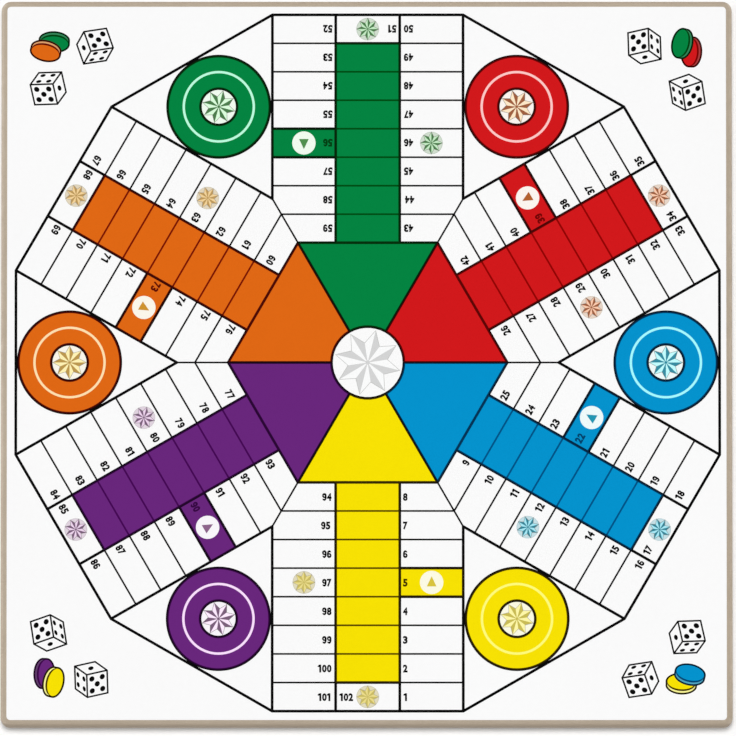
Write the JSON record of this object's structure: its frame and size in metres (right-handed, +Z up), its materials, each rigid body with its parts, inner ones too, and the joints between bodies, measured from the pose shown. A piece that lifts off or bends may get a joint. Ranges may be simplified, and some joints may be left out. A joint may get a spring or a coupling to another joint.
{
  "type": "ludo board",
  "caption": "Square wooden ludo board with rounded edges, a printed cross-and-circle track of coloured arms, home circles and a central goal, played flat on a table.",
  "frame": {"origin": "middle of the underside, on the surface the board rests on", "axes": "+Z up out of the printed face; +Y towards the green arm; +X between the red and blue arms"},
  "size_m": [0.3996, 0.3996, 0.0126],
  "materials": {
    "fibreboard": "sanded round edge, sealed",
    "face_paper": "satin laminated white sheet",
    "backing_paper": "plain matt balancing sheet",
    "black_ink": "satin printed ink",
    "grey_ink": "satin printed ink",
    "green_ink": "satin printed ink",
    "green_tint": "satin printed ink, half tone",
    "red_ink": "satin printed ink",
    "red_tint": "satin printed ink, half tone",
    "blue_ink": "satin printed ink",
    "blue_tint": "satin printed ink, half tone",
    "yellow_ink": "satin printed ink",
    "yellow_tint": "satin printed ink, half tone",
    "purple_ink": "satin printed ink",
    "purple_tint": "satin printed ink, half tone",
    "orange_ink": "satin printed ink",
    "orange_tint": "satin printed ink, half tone"
  },
  "bodies": {
    "root": {"core_panel": "fibreboard", "face_sheet": "face_paper", "backing_sheet": "backing_paper", "line_print": "black_ink", "centre_star": "grey_ink", "green_home_path": "green_ink", "green_start_square": "green_ink", "green_home_outer_band": "green_ink", "green_home_inner_band": "green_ink", "green_badge_star": "green_tint", "green_lane_star": "green_tint", "green_safe_star": "green_tint", "green_home_outline": "black_ink", "green_badge_ring": "black_ink", "red_home_path": "red_ink", "red_start_square": "red_ink", "red_home_outer_band": "red_ink", "red_home_inner_band": "red_ink", "red_badge_star": "red_tint", "red_lane_star": "red_tint", "red_safe_star": "red_tint", "red_home_outline": "black_ink", "red_badge_ring": "black_ink", "blue_home_path": "blue_ink", "blue_start_square": "blue_ink", "blue_home_outer_band": "blue_ink", "blue_home_inner_band": "blue_ink", "blue_badge_star": "blue_tint", "blue_lane_star": "blue_tint", "blue_safe_star": "blue_tint", "blue_home_outline": "black_ink", "blue_badge_ring": "black_ink", "yellow_home_path": "yellow_ink", "yellow_start_square": "yellow_ink", "yellow_home_outer_band": "yellow_ink", "yellow_home_inner_band": "yellow_ink", "yellow_badge_star": "yellow_tint", "yellow_lane_star": "yellow_tint", "yellow_safe_star": "yellow_tint", "yellow_home_outline": "black_ink", "yellow_badge_ring": "black_ink", "purple_home_path": "purple_ink", "purple_start_square": "purple_ink", "purple_home_outer_band": "purple_ink", "purple_home_inner_band": "purple_ink", "purple_badge_star": "purple_tint", "purple_lane_star": "purple_tint", "purple_safe_star": "purple_tint", "purple_home_outline": "black_ink", "purple_badge_ring": "black_ink", "orange_home_path": "orange_ink", "orange_start_square": "orange_ink", "orange_home_outer_band": "orange_ink", "orange_home_inner_band": "orange_ink", "orange_badge_star": "orange_tint", "orange_lane_star": "orange_tint", "orange_safe_star": "orange_tint", "orange_home_outline": "black_ink", "orange_badge_ring": "black_ink"}
  },
  "joints": []
}
